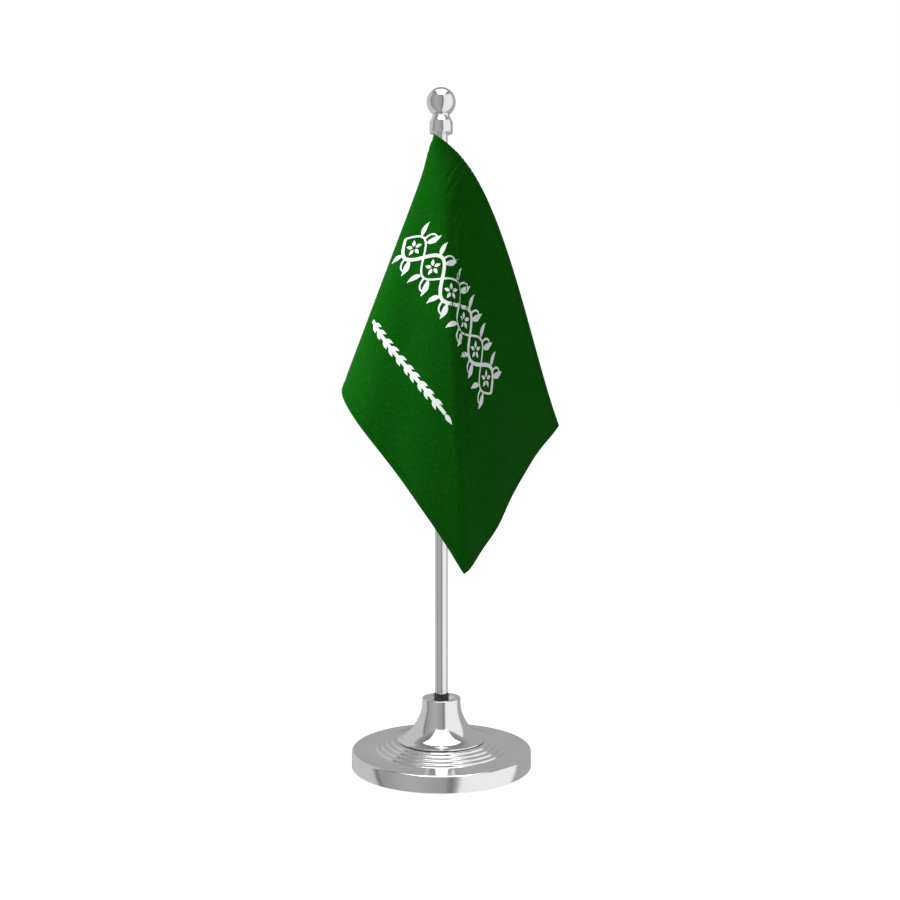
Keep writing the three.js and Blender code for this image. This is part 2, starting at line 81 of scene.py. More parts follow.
class Nodes:
    """A short way to write a node tree."""

    def __init__(self, tree):
        self.tree = tree

    def add(self, kind, **values):
        node = self.tree.nodes.new(kind)
        for name, value in values.items():
            setattr(node, name, value)
        return node

    def link(self, source, target):
        if isinstance(source, (int, float)):
            target.default_value = source
        else:
            self.tree.links.new(source, target)

    def math(self, operation, a, b=0.0, clamp=False):
        node = self.add("ShaderNodeMath", operation=operation, use_clamp=clamp)
        self.link(a, node.inputs[0])
        self.link(b, node.inputs[1])
        return node.outputs[0]

    def step(self, value, low, high):
        """0 below low, 1 above high and a smooth rise between."""
        node = self.add("ShaderNodeMapRange", interpolation_type="SMOOTHSTEP")
        self.link(value, node.inputs["Value"])
        node.inputs["From Min"].default_value = low
        node.inputs["From Max"].default_value = high
        return node.outputs["Result"]

    def band(self, value, low, high, soft):
        """1 between low and high, with soft edges."""
        rise = self.step(value, low - soft, low + soft)
        fall = self.step(value, high - soft, high + soft)
        return self.math("SUBTRACT", rise, fall)

    def mix(self, share, a, b):
        """a where share is 0 and b where it is 1."""
        node = self.add("ShaderNodeMix", data_type="FLOAT")
        self.link(share, node.inputs[0])
        self.link(a, node.inputs[2])
        self.link(b, node.inputs[3])
        return node.outputs[0]


# How bright each part of the reflected room is.
ROOM_GREY = 0.39
CEILING_FALL = 0.17
LEFT_WALL = 0.56
SHADE_PANEL = 0.33
SHADE_CENTRE_RISE = 0.09
PANEL_EDGE = 0.13
BRIGHT_PANEL = 0.9
CEILING_LIGHT = 2.2

# Where each part is, in degrees to the right of the front. The panels end between the two
# heights of PANEL_TOP, and the ceiling starts between those of CEILING_START.
LEFT_WALL_SPAN = (-165, -93)
SHADE_SPAN = (-88, 16)
SHADE_CENTRE = (-62, -14)
SHADE_LEFT_EDGE = (-92, -84)
SHADE_RIGHT_EDGE = (8, 17)
BRIGHT_SPAN = (23, 108)
PANEL_TOP = (44, 48)
CEILING_START = (40, 60)

# How far the ceiling light reaches across and back, as shares of its height.
LIGHT_ACROSS = (-0.47, 0.53)
LIGHT_ALONG = (-0.9, 0.32)
LIGHT_SOFT_EDGE = 0.03

# The even light that cloth and other matt surfaces get.
SOFT_LIGHT = 0.7
SOFT_LIGHT_FALL = 0.2


def add_world():
    """What the chrome reflects is a grey room with a shade panel in front, a bright panel at the
    right and a light overhead. The background is plain white, and cloth gets even light."""
    world = bpy.data.worlds.new("studio")
    bpy.context.scene.world = world
    world.use_nodes = True
    world.node_tree.nodes.clear()
    n = Nodes(world.node_tree)
    direction = n.add("ShaderNodeTexCoord").outputs["Generated"]
    split = n.add("ShaderNodeSeparateXYZ")
    n.link(direction, split.inputs[0])
    x, y, z = split.outputs
    rays = n.add("ShaderNodeLightPath")
    soft = n.math("SUBTRACT", SOFT_LIGHT, n.math("MULTIPLY", x, SOFT_LIGHT_FALL))
    level = n.mix(rays.outputs["Is Diffuse Ray"], reflected_room(n, x, y, z), soft)
    level = n.mix(rays.outputs["Is Camera Ray"], level, 1.0)
    background = n.add("ShaderNodeBackground")
    background.inputs["Color"].default_value = (1, 1, 1, 1)
    n.link(level, background.inputs["Strength"])
    output = n.add("ShaderNodeOutputWorld")
    n.link(background.outputs[0], output.inputs["Surface"])


def reflected_room(n, x, y, z):
    """How bright the room is in a direction. Each part covers what comes before it."""
    azimuth = n.math("MULTIPLY", n.math("ARCTAN2", x, n.math("MULTIPLY", y, -1.0)), 180 / math.pi)
    height = n.math("MULTIPLY", n.math("ARCSINE", z), 180 / math.pi)
    low_room = n.math("SUBTRACT", 1.0, n.step(height, *PANEL_TOP))
    ceiling_fall = n.math("MULTIPLY", n.step(height, *CEILING_START), CEILING_FALL)
    level = n.math("SUBTRACT", ROOM_GREY, ceiling_fall)

    left = n.math("MULTIPLY", n.band(azimuth, *LEFT_WALL_SPAN, 7), low_room)
    level = n.mix(left, level, LEFT_WALL)

    shade = n.math("MULTIPLY", n.band(azimuth, *SHADE_SPAN, 1.5), low_room)
    centre_rise = n.math("MULTIPLY", n.band(azimuth, *SHADE_CENTRE, 22), SHADE_CENTRE_RISE)
    level = n.mix(shade, level, n.math("ADD", SHADE_PANEL, centre_rise))

    left_edge = n.band(azimuth, *SHADE_LEFT_EDGE, 3)
    right_edge = n.band(azimuth, *SHADE_RIGHT_EDGE, 4)
    edge = n.math("MULTIPLY", n.math("ADD", left_edge, right_edge, clamp=True), low_room)
    level = n.mix(n.math("MULTIPLY", edge, 0.6), level, PANEL_EDGE)

    bright = n.math("MULTIPLY", n.band(azimuth, *BRIGHT_SPAN, 5), low_room)
    level = n.mix(bright, level, BRIGHT_PANEL)

    rise = n.math("MAXIMUM", z, 0.05)
    across = n.band(n.math("DIVIDE", x, rise), *LIGHT_ACROSS, LIGHT_SOFT_EDGE)
    along = n.band(n.math("DIVIDE", y, rise), *LIGHT_ALONG, LIGHT_SOFT_EDGE)
    overhead = n.math("MULTIPLY", n.math("MULTIPLY", across, along), n.step(z, 0.4, 0.5))
    return n.mix(overhead, level, CEILING_LIGHT)


FLOOR_SIZE = 60


def add_floor():
    """A pale floor that stays out of the chrome's reflections and the cloth's light."""
    bpy.ops.mesh.primitive_plane_add(size=FLOOR_SIZE, location=(0, 0, 0))
    floor = bpy.context.object
    floor.name = "floor"
    floor.visible_glossy = False
    floor.visible_diffuse = False
    floor.data.materials.append(floor_finish())


def floor_finish():
    """Nearly white, and it glows a little so that it stays pale out to the horizon."""
    material, _, shader = new_material("floor_pale")
    shader.inputs["Base Color"].default_value = (0.2, 0.2, 0.2, 1)
    shader.inputs["Specular IOR Level"].default_value = 0
    shader.inputs["Roughness"].default_value = 0.9
    shader.inputs["Emission Color"].default_value = (1, 1, 1, 1)
    shader.inputs["Emission Strength"].default_value = 0.9
    return material


KEY_PLACE = (-1.15, 0.06, 0.78)
KEY_AIM = (0, 0, 0.28)
KEY_SIZE = 0.4
KEY_POWER = 25


def add_key_light():
    """A soft lamp high at the left, which the chrome doesn't reflect."""
    data = bpy.data.lights.new("key", "AREA")
    data.size = KEY_SIZE
    data.energy = KEY_POWER
    light = bpy.data.objects.new("key", data)
    light.location = KEY_PLACE
    light.rotation_euler = (Vector(KEY_AIM) - Vector(KEY_PLACE)).to_track_quat("-Z", "Y").to_euler()
    light.visible_glossy = False
    bpy.context.collection.objects.link(light)


# ---------------------------------------------------------------- materials


def new_material(name):
    """A material, its node tree to add to, and its shader."""
    material = bpy.data.materials.new(name)
    material.use_nodes = True
    n = Nodes(material.node_tree)
    return material, n, material.node_tree.nodes["Principled BSDF"]


def noise(n, scale, detail=4.0, stretch=(1, 1, 1), coordinates="Object"):
    """Cloudy noise from 0 to 1, drawn out along the axes with a small stretch value."""
    place = n.add("ShaderNodeTexCoord").outputs[coordinates]
    mapping = n.add("ShaderNodeMapping")
    mapping.inputs["Scale"].default_value = stretch
    n.link(place, mapping.inputs[0])
    node = n.add("ShaderNodeTexNoise")
    node.inputs["Scale"].default_value = scale
    node.inputs["Detail"].default_value = detail
    n.link(mapping.outputs[0], node.inputs["Vector"])
    return node.outputs["Fac"]


def ramp(n, value, stops):
    """A colour ramp from (position, colour) stops."""
    node = n.add("ShaderNodeValToRGB")
    while len(node.color_ramp.elements) < len(stops):
        node.color_ramp.elements.new(0.5)
    for element, (position, colour) in zip(node.color_ramp.elements, stops):
        element.position = position
        element.color = (*colour, 1)
    n.link(value, node.inputs[0])
    return node.outputs["Color"]


def scale_range(n, value, low, high):
    """0 becomes low and 1 becomes high."""
    node = n.add("ShaderNodeMapRange")
    n.link(value, node.inputs["Value"])
    node.inputs["To Min"].default_value = low
    node.inputs["To Max"].default_value = high
    return node.outputs["Result"]


def bump(n, shader, height, strength, distance):
    """Shades the surface as if it had this height, up to distance in metres."""
    node = n.add("ShaderNodeBump")
    node.inputs["Strength"].default_value = strength
    node.inputs["Distance"].default_value = distance
    n.link(height, node.inputs["Height"])
    n.link(node.outputs[0], shader.inputs["Normal"])


def chrome():
    """Polished plate: fine turning marks, faint smears and slightly worn, duller patches."""
    material, n, shader = new_material("chrome")
    shader.inputs["Metallic"].default_value = 1
    smears = noise(n, 55, 5, (1, 1, 0.5))
    tint = ramp(n, smears, [(0.3, (0.86, 0.87, 0.88)), (0.7, (0.93, 0.93, 0.925))])
    n.link(tint, shader.inputs["Base Color"])
    n.link(scale_range(n, smears, 0.035, 0.13), shader.inputs["Roughness"])
    turning = noise(n, 900, 3, (0.15, 0.15, 2.5))
    bump(n, shader, turning, 0.06, 0.00002)
    return material


def steel():
    """Zinc-plated steel with a fine drawn grain."""
    material, n, shader = new_material("steel")
    shader.inputs["Metallic"].default_value = 1
    grain = noise(n, 700, 4, (1, 1, 0.08))
    colours = [(0.3, (0.42, 0.43, 0.45)), (0.75, (0.62, 0.62, 0.6))]
    n.link(ramp(n, grain, colours), shader.inputs["Base Color"])
    n.link(scale_range(n, grain, 0.28, 0.5), shader.inputs["Roughness"])
    bump(n, shader, grain, 0.25, 0.00005)
    return material


def cast_iron():
    """Sand-cast skin: coarse pits over a fine grain."""
    material, n, shader = new_material("cast_iron")
    shader.inputs["Metallic"].default_value = 0.7
    shader.inputs["Roughness"].default_value = 0.78
    grain = noise(n, 420, 8)
    colours = [(0.3, (0.03, 0.03, 0.032)), (0.7, (0.15, 0.145, 0.14))]
    n.link(ramp(n, grain, colours), shader.inputs["Base Color"])
    bump(n, shader, grain, 0.7, 0.0004)
    return material


def brass():
    """Turned brass with fine rings from the tool."""
    material, n, shader = new_material("brass")
    shader.inputs["Metallic"].default_value = 1
    marks = noise(n, 600, 3, (0.2, 0.2, 3))
    colours = [(0.3, (0.55, 0.38, 0.14)), (0.7, (0.76, 0.58, 0.28))]
    n.link(ramp(n, marks, colours), shader.inputs["Base Color"])
    n.link(scale_range(n, marks, 0.2, 0.38), shader.inputs["Roughness"])
    bump(n, shader, marks, 0.2, 0.00004)
    return material


def moulded(name, dark, pale, low, high):
    """Moulded plastic or rubber: a fine spark-eroded grain."""
    material, n, shader = new_material(name)
    grain = noise(n, 1500, 3)
    n.link(ramp(n, grain, [(0.3, dark), (0.75, pale)]), shader.inputs["Base Color"])
    n.link(scale_range(n, grain, low, high), shader.inputs["Roughness"])
    bump(n, shader, grain, 0.3, 0.00006)
    return material


def felt():
    """Pressed wool: tangled fibres in two sizes."""
    material, n, shader = new_material("felt")
    shader.inputs["Roughness"].default_value = 1
    shader.inputs["Sheen Weight"].default_value = 0.5
    shader.inputs["Sheen Roughness"].default_value = 0.6
    fibres = n.math("ADD", noise(n, 900, 10, (1, 0.25, 1)), noise(n, 700, 10, (0.25, 1, 1)))
    colours = [(0.35, (0.012, 0.014, 0.013)), (0.65, (0.06, 0.066, 0.062))]
    n.link(ramp(n, n.math("MULTIPLY", fibres, 0.5), colours), shader.inputs["Base Color"])
    bump(n, shader, fibres, 0.9, 0.0005)
    return material


THREAD = 0.75 * MM
SLANT_PITCH = 2.2
SLANT_SLOPE = 0.6
CLOTH_DARK = (0.0005, 0.044, 0.0005)
CLOTH_MID = (0.0022, 0.07, 0.0018)
CLOTH_PALE = (0.009, 0.105, 0.007)
PRINT_DARK = (0.56, 0.62, 0.58)
PRINT_MID = (0.72, 0.77, 0.74)
PRINT_PALE = (0.82, 0.86, 0.83)
THREAD_DARK = (0.002, 0.05, 0.002)
THREAD_MID = (0.004, 0.08, 0.004)
THREAD_PALE = (0.01, 0.12, 0.01)


def weave(n):
    """The height of a satin twill: threads both ways, with the crossings stepping diagonally."""
    place = n.add("ShaderNodeUVMap", uv_map="cloth").outputs[0]
    split = n.add("ShaderNodeSeparateXYZ")
    n.link(place, split.inputs[0])
    u, v, _ = split.outputs
    turns = 2 * math.pi / THREAD
    warp = n.math("SINE", n.math("MULTIPLY", u, turns))
    weft = n.math("SINE", n.math("MULTIPLY", v, turns))
    diagonal = n.math("ADD", u, n.math("MULTIPLY", v, SLANT_SLOPE))
    slant = n.math("SINE", n.math("MULTIPLY", diagonal, turns / SLANT_PITCH))
    threads = n.math("ADD", n.math("MULTIPLY", warp, 0.22), n.math("MULTIPLY", weft, 0.18))
    return n.math("ADD", n.math("ADD", threads, n.math("MULTIPLY", slant, 0.3)), 0.5, clamp=True)


def uneven_threads(n, scale):
    """Slubs: noise drawn out along the threads."""
    along = noise(n, scale, 4, (0.3, 2.2, 1), "UV")
    across = noise(n, scale, 4, (2.2, 0.3, 1), "UV")
    return n.math("MULTIPLY", n.math("ADD", along, across), 0.5)


def woven(name, dark, middle, pale, sheen, tint):
    """Satin-woven cloth: the weave, uneven threads and broad, faint patches."""
    material, n, shader = new_material(name)
    pattern = weave(n)
    slubs = uneven_threads(n, 900)
    patches = noise(n, 38, 3)
    mixed = n.math("ADD", n.math("MULTIPLY", pattern, 0.16), n.math("MULTIPLY", slubs, 0.72))
    mixed = n.math("ADD", mixed, n.math("MULTIPLY", patches, 0.12))
    n.link(ramp(n, mixed, [(0.3, dark), (0.5, middle), (0.7, pale)]), shader.inputs["Base Color"])
    shader.inputs["Roughness"].default_value = 0.62
    shader.inputs["Specular IOR Level"].default_value = 0.02
    shader.inputs["Sheen Weight"].default_value = sheen
    shader.inputs["Sheen Roughness"].default_value = 0.35
    shader.inputs["Sheen Tint"].default_value = (*tint, 1)
    height = n.math("ADD", pattern, n.math("MULTIPLY", slubs, 0.8))
    bump(n, shader, height, 0.55, 0.00012)
    return material


def make_materials():
    """Every material, by the name of the slot that it fills."""
    black = (0.006, 0.006, 0.0065)
    return {
        "chrome": chrome(),
        "steel": steel(),
        "iron": cast_iron(),
        "brass": brass(),
        "felt": felt(),
        "black_plastic": moulded("black_plastic", black, (0.028, 0.028, 0.03), 0.42, 0.6),
        "rubber": moulded("rubber", black, (0.022, 0.022, 0.022), 0.68, 0.9),
        "nylon": moulded("nylon", (0.7, 0.68, 0.62), (0.84, 0.82, 0.76), 0.4, 0.55),
        "flag_fabric": woven("flag_fabric", CLOTH_DARK, CLOTH_MID, CLOTH_PALE, 0.02, (0.2, 1, 0.2)),
        "flag_print": woven("flag_print", PRINT_DARK, PRINT_MID, PRINT_PALE, 0.1, (1, 1, 1)),
        "flag_thread": woven("flag_thread", THREAD_DARK, THREAD_MID, THREAD_PALE, 0.3, (0.5, 1, 0.5)),
    }


# ---------------------------------------------------------------- meshes


def new_object(name, vertices, faces, material):
    """A smooth-shaded mesh object in the scene."""
    mesh = bpy.data.meshes.new(name)
    mesh.from_pydata([tuple(v) for v in vertices], [], faces)
    mesh.materials.append(material)
    mesh.polygons.foreach_set("use_smooth", [True] * len(mesh.polygons))
    obj = bpy.data.objects.new(name, mesh)
    bpy.context.collection.objects.link(obj)
    return obj


def apply_modifiers(obj):
    """Makes the modifiers' result the object's own mesh."""
    bpy.context.view_layer.objects.active = obj
    for modifier in list(obj.modifiers):
        with bpy.context.temp_override(object=obj, active_object=obj):
            bpy.ops.object.modifier_apply(modifier=modifier.name)


def outward(obj):
    """Turns every face of a closed mesh to face out."""
    b = bmesh.new()
    b.from_mesh(obj.data)
    bmesh.ops.recalc_face_normals(b, faces=b.faces)
    b.to_mesh(obj.data)
    b.free()


# Turned edges sharper than the first angle are broken, and those sharper than the second stay
# sharp in the shading.
EDGE_BREAK = 0.12 * MM
BREAK_ABOVE = math.radians(32)
SHARP_ABOVE = math.radians(38)


def low_first(point):
    radius, height = point
    return height, radius


def node_profile(node):
    """The half section of a turned CAD node: its (radius, height) points in order round the
    outline, read from the vertices on the plane where the turning starts, and whether the
    outline is closed."""
    mesh = frame["nodes"][node].data
    points = {}
    for vertex in mesh.vertices:
        x, y, z = vertex.co
        if abs(x) < TINY and y < TINY:
            points[vertex.index] = (round(-y, 6), round(z, 6))
    links = {}
    for edge in mesh.edges:
        a, b = edge.vertices
        if a not in points or b not in points or points[a] == points[b]:
            continue
        on_axis = points[a][0] < TINY and points[b][0] < TINY
        if not on_axis:
            links.setdefault(points[a], set()).add(points[b])
            links.setdefault(points[b], set()).add(points[a])
    ends = [p for p in links if len(links[p]) == 1]
    path = [min(ends or links, key=low_first)]
    onward = links[path[0]]
    while onward:
        path.append(min(onward, key=low_first))
        onward = [p for p in links[path[-1]] if p not in path]
    return path, not ends


def turned(node, segments, material, body):
    """Stands for a turned CAD node, with the same section, round to the eye and with its sharp
    edges broken."""
    path, closed = node_profile(node)
    vertices = []
    rings = []
    for radius, height in path:
        if radius < TINY:
            rings.append([len(vertices)] * segments)
            vertices.append((0, 0, height))
            continue
        rings.append(list(range(len(vertices), len(vertices) + segments)))
        for i in range(segments):
            angle = 2 * math.pi * i / segments
            vertices.append((radius * math.sin(angle), -radius * math.cos(angle), height))
    pairs = list(zip(rings, rings[1:]))
    if closed:
        pairs.append((rings[-1], rings[0]))
    faces = []
    for low, high in pairs:
        for i in range(segments):
            j = (i + 1) % segments
            face = [low[i], low[j], high[j], high[i]]
            faces.append([v for k, v in enumerate(face) if v not in face[:k]])
    obj = new_object(node + "_turned", vertices, faces, material)
    outward(obj)
    bevel = obj.modifiers.new("edges", "BEVEL")
    bevel.width = EDGE_BREAK
    bevel.segments = 2
    bevel.limit_method = "ANGLE"
    bevel.angle_limit = BREAK_ABOVE
    apply_modifiers(obj)
    obj.data.polygons.foreach_set("use_smooth", [True] * len(obj.data.polygons))
    obj.data.set_sharp_from_angle(angle=SHARP_ABOVE)
    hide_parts(node)
    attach(obj, body)
    return obj


# ---------------------------------------------------------------- the flag's shape

HOIST = 150 * MM
FLY = 225 * MM
CLOTH_THICKNESS = 0.35 * MM

# Squares of the cloth mesh along the fly and down the hoist.
COLUMNS = 120
ROWS = 80

SLEEVE_LOW, SLEEVE_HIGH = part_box("flag_sleeve")
SLEEVE_RADIUS = SLEEVE_HIGH[0]
SHEET_GAP = 0.35 * MM
HOIST_TOP = SLEEVE_LOW[2] + HOIST

# The top hoist corner, on the sleeve's front left face, which the whole sheet hangs from.
CORNER_OUT = 0.77 * SLEEVE_RADIUS
APEX = np.array([-CORNER_OUT, -CORNER_OUT, HOIST_TOP])

# The free edges as they hang, evenly spaced along the cloth: steps across and back from the
# apex as shares of the fly, and the drop as a share of the hoist plus a share of the fly.
LOWER_EDGE = [
    (0, 0, 1, 0),
    (-0.127, 0.127, 1, 0.005),
    (-0.258, 0.06, 1, 0.01),
    (-0.211, -0.06, 1, 0.11),
    (-0.111, -0.118, 1, 0.231),
    (-0.02, -0.162, 1, 0.353),
    (0.084, -0.189, 1, 0.5),
]
FLY_EDGE = [
    (0.084, -0.189, 1, 0.5),
    (0.155, -0.038, 0.667, 0.636),
    (0.253, 0.136, 0.333, 0.705),
    (0.364, 0.282, 0, 0.796),
]

# How far the lines from the apex bow out as they turn from the hoist to the fly, as shares of the
# fly. The bow starts BULGE_START radians round from the hoist.
BULGE_NEAR = np.array([0.052, -0.205, 0.155])
BULGE_FAR = np.array([0.013, -0.111, -0.013])
BULGE_START = 0.6


def edge_points(rows):
    """The places of an edge's points, from their shares of the hoist and the fly."""
    return np.array([
        (APEX[0] + a * FLY, APEX[1] + b * FLY, APEX[2] - h * HOIST - f * FLY) for a, b, h, f in rows
    ])


def spline(points, t):
    """A Catmull-Rom curve through the points, at shares t of its length."""
    count = len(points) - 1
    padded = np.vstack([2 * points[0] - points[1], points, 2 * points[-1] - points[-2]])
    place = np.clip(t, 0, 1) * count
    i = np.minimum(place.astype(int), count - 1)
    f = (place - i)[:, None]
    a, b, c, d = padded[i], padded[i + 1], padded[i + 2], padded[i + 3]
    return 0.5 * (2 * b + (c - a) * f + (2 * a - 5 * b + 4 * c - d) * f**2
                  + (3 * b - a - 3 * c + d) * f**3)


def smooth_rise(x, low, high):
    """0 below low, 1 above high and a smooth rise between."""
    t = np.clip((x - low) / (high - low), 0, 1)
    return t * t * (3 - 2 * t)


def hung_shape():
    """Where the cloth hangs: every point lies on a curved line from the apex to a free edge."""
    u, v = np.meshgrid(np.linspace(0, FLY, COLUMNS + 1), np.linspace(0, HOIST, ROWS + 1))
    u = u.ravel()
    v = v.ravel()
    lower = u * HOIST <= v * FLY
    share = np.maximum(np.where(lower, v / HOIST, u / FLY), 1e-9)
    edge = np.where(lower[:, None], spline(edge_points(LOWER_EDGE), u / share / FLY),
                    spline(edge_points(FLY_EDGE), 1 - v / share / HOIST))
    turn = smooth_rise(np.arctan2(u, v), BULGE_START, math.pi / 2)[:, None]
    s = share[:, None]
    near = APEX + (edge - APEX) / 3 + turn * FLY * BULGE_NEAR
    far = APEX + (edge - APEX) * 2 / 3 + turn * FLY * BULGE_FAR
    place = APEX * (1 - s)**3 + 3 * (1 - s)**2 * s * near + 3 * (1 - s) * s**2 * far + s**3 * edge
    place[0] = APEX
    return keep_off_pole(place.reshape(ROWS + 1, COLUMNS + 1, 3))


def keep_off_pole(place):
    """Moves points that would lie in the sleeve out to just clear of it."""
    clear = SLEEVE_RADIUS + SHEET_GAP
    radius = np.linalg.norm(place[..., :2], axis=2, keepdims=True)
    pushed = (radius**8 + clear**8)**0.125
    out = place.copy()
    out[..., :2] *= pushed / np.maximum(radius, 1e-9)
    return out


SETTLE_ROUNDS = 500
CORRECTION = 1.6
STIFFNESS = 0.05
HOLD = 0.008
SHEAR_STRENGTH = 0.5


def settle(place):
    """Lets the cloth find its own lengths: threads keep their cut length both ways, the weave
    resists shear a little, bending is smoothed out, and the sheet stays close to how it hangs."""
    hung = place.copy()
    free = np.ones(place.shape[:2] + (1,))
    free[:, 0] = 0
    wide = FLY / COLUMNS
    deep = HOIST / ROWS
    slant = math.hypot(wide, deep)
    every = slice(None)
    less = slice(0, -1)
    more = slice(1, None)
    ties = [
        ((every, less), (every, more), wide, 1.0),
        ((less, every), (more, every), deep, 1.0),
        ((less, less), (more, more), slant, SHEAR_STRENGTH),
        ((less, more), (more, less), slant, SHEAR_STRENGTH),
    ]
    for _ in range(SETTLE_ROUNDS):
        change = np.zeros_like(place)
        count = np.zeros_like(free)
        for a, b, length, strength in ties:
            gap = place[b] - place[a]
            reach = np.maximum(np.linalg.norm(gap, axis=2, keepdims=True), 1e-9)
            pull = gap * (reach - length) / reach * strength / np.maximum(free[a] + free[b], 1)
            change[a] += pull * free[a]
            change[b] -= pull * free[b]
            count[a] += 1
            count[b] += 1
        place = place + CORRECTION * change / count
        bend = np.zeros_like(place)
        bend[:, 1:-1] += (place[:, :-2] + place[:, 2:]) / 2 - place[:, 1:-1]
        bend[1:-1] += (place[:-2] + place[2:]) / 2 - place[1:-1]
        place = place + (STIFFNESS * bend + HOLD * (hung - place)) * free
        place = np.where(free > 0, keep_off_pole(place), place)
    return place


RIPPLE_HEIGHT = 0.9 * MM
CURL_HEIGHT = 0.35 * MM


def ripples(place):
    """Soft folds that fan out from the apex and die away at the hoist, and a curl along the hems."""
    u, v = np.meshgrid(np.linspace(0, 1, COLUMNS + 1), np.linspace(0, 1, ROWS + 1))
    fan = np.arctan2(u * FLY, v * HOIST)
    far = np.hypot(u * FLY, v * HOIST) / math.hypot(FLY, HOIST)
    wave = np.sin(fan * 11 + 0.6) * 0.5 + np.sin(fan * 19 + 2.1 + far * 2) * 0.28
    swell = wave * smooth_rise(far, 0.12, 0.8) * smooth_rise(u, 0.08, 0.3)
    curl = np.sin(v * 21 + 1) * smooth_rise(u, 0.93, 1) + np.sin(u * 33) * smooth_rise(v, 0.93, 1)
    height = swell * RIPPLE_HEIGHT + curl * CURL_HEIGHT
    return place + sheet_normals(place) * height[..., None]


def sheet_normals(place):
    """The way the cloth faces at each point."""
    across = np.gradient(place, axis=1)
    down = np.gradient(place, axis=0)
    normal = np.cross(down, across)
    return normal / np.maximum(np.linalg.norm(normal, axis=2, keepdims=True), 1e-12)


class Cloth:
    """The finished hanging sheet, which the hem, the stitches and the print are laid on."""

    def __init__(self):
        self.place = ripples(settle(hung_shape()))
        self.normal = sheet_normals(self.place)

    def at(self, u, v, lift=0.0):
        """The point that hangs at u along the fly and v down the hoist, lifted off the cloth."""
        x = min(max(u / FLY, 0), 1) * COLUMNS
        y = min(max(v / HOIST, 0), 1) * ROWS
        i = min(int(x), COLUMNS - 1)
        j = min(int(y), ROWS - 1)
        fx = x - i
        fy = y - j
        point = np.zeros(3)
        corners = [
            (i, j, (1 - fx) * (1 - fy)),
            (i + 1, j, fx * (1 - fy)),
            (i, j + 1, (1 - fx) * fy),
            (i + 1, j + 1, fx * fy),
        ]
        for column, row, share in corners:
            point += share * (self.place[row, column] + lift * self.normal[row, column])
        return point


def add_uv(obj, spots):
    """Gives each vertex its place on the flat cloth, in metres."""
    layer = obj.data.uv_layers.new(name="cloth")
    for loop in obj.data.loops:
        layer.data[loop.index].uv = spots[loop.vertex_index]


def flag_sheet(cloth, material):
    """The sheet itself, with its real thickness."""
    vertices = cloth.place.reshape(-1, 3)
    faces = []
    spots = []
    for row in range(ROWS + 1):
        for column in range(COLUMNS + 1):
            spots.append((FLY * column / COLUMNS, HOIST * row / ROWS))
    for row in range(ROWS):
        for column in range(COLUMNS):
            a = row * (COLUMNS + 1) + column
            faces.append((a, a + COLUMNS + 1, a + COLUMNS + 2, a + 1))
    obj = new_object("flag_sheet", vertices, faces, material)
    add_uv(obj, spots)
    thick = obj.modifiers.new("thickness", "SOLIDIFY")
    thick.thickness = CLOTH_THICKNESS
    thick.offset = 0
    apply_modifiers(obj)
    outward(obj)
    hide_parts("flag_cloth")
    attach(obj, "flag")
    return obj


class Strips:
    """Thin closed bands laid on the cloth, gathered into one mesh."""

    def __init__(self, cloth):
        self.cloth = cloth
        self.vertices = []
        self.faces = []
        self.spots = []

    def band(self, rows, low, high):
        """Adds a solid band between two lifts off the cloth. Its rows are flat cross lines, each
        a list of (u, v) points."""
        wide = len(rows[0])
        start = len(self.vertices)
        for lift in (low, high):
            for row in rows:
                for u, v in row:
                    self.vertices.append(self.cloth.at(u, v, lift))
                    self.spots.append((u, v))
        size = wide * len(rows)

        def at(layer, row, column):
            return start + layer * size + row * wide + column

        last_row = len(rows) - 1
        last_column = wide - 1
        for row in range(last_row):
            for column in range(last_column):
                square = [(row, column), (row, column + 1), (row + 1, column + 1), (row + 1, column)]
                self.faces.append([at(0, *s) for s in square])
                self.faces.append([at(1, *s) for s in reversed(square)])
        rim = [(0, column) for column in range(last_column)]
        rim += [(row, last_column) for row in range(last_row)]
        rim += [(last_row, column) for column in range(last_column, 0, -1)]
        rim += [(row, 0) for row in range(last_row, 0, -1)]
        for a, b in zip(rim, rim[1:] + rim[:1]):
            self.faces.append([at(0, *b), at(0, *a), at(1, *a), at(1, *b)])

    def finish(self, name, material):
        obj = new_object(name, self.vertices, self.faces, material)
        add_uv(obj, self.spots)
        outward(obj)
        obj.data.set_sharp_from_angle(angle=math.radians(50))
        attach(obj, "flag")
        return obj


HEM_WIDTH = 3 * MM
HEM_PROUD = 0.16 * MM
HEM_STEP = 1.6 * MM
HEM_LINES = (0, 0.12, 0.5, 0.88, 1)
STITCH_LENGTH = 1.4 * MM
STITCH_PITCH = 2 * MM
STITCH_WIDTH = 0.26 * MM
STITCH_SUNK = 0.05 * MM
STITCH_PROUD = 0.16 * MM
STITCH_LINE = 0.82 * HEM_WIDTH

# A stitch's width at shares of its length.
STITCH_TAPER = ((0, 0.35), (0.2, 1), (0.8, 1), (1, 0.35))


def free_edges():
    """The three hemmed sides: a start, a direction along the side, a direction inwards and a
    length."""
    return [
        ((0.0, 0.0), (1, 0), (0, 1), FLY),
        ((0.0, HOIST), (1, 0), (0, -1), FLY),
        ((FLY, 0.0), (0, 1), (-1, 0), HOIST),
    ]


def flag_hem(cloth, material):
    """A narrow doubled edge on both faces of the cloth."""
    strips = Strips(cloth)
    for (u0, v0), (du, dv), (iu, iv), length in free_edges():
        steps = round(length / HEM_STEP)
        for side in (-1, 1):
            rows = []
            for k in range(steps + 1):
                s = length * k / steps
                rows.append([(u0 + du * s + iu * HEM_WIDTH * i, v0 + dv * s + iv * HEM_WIDTH * i)
                             for i in HEM_LINES])
            strips.band(rows, 0, side * (CLOTH_THICKNESS / 2 + HEM_PROUD))
    return strips.finish("flag_hem", material)


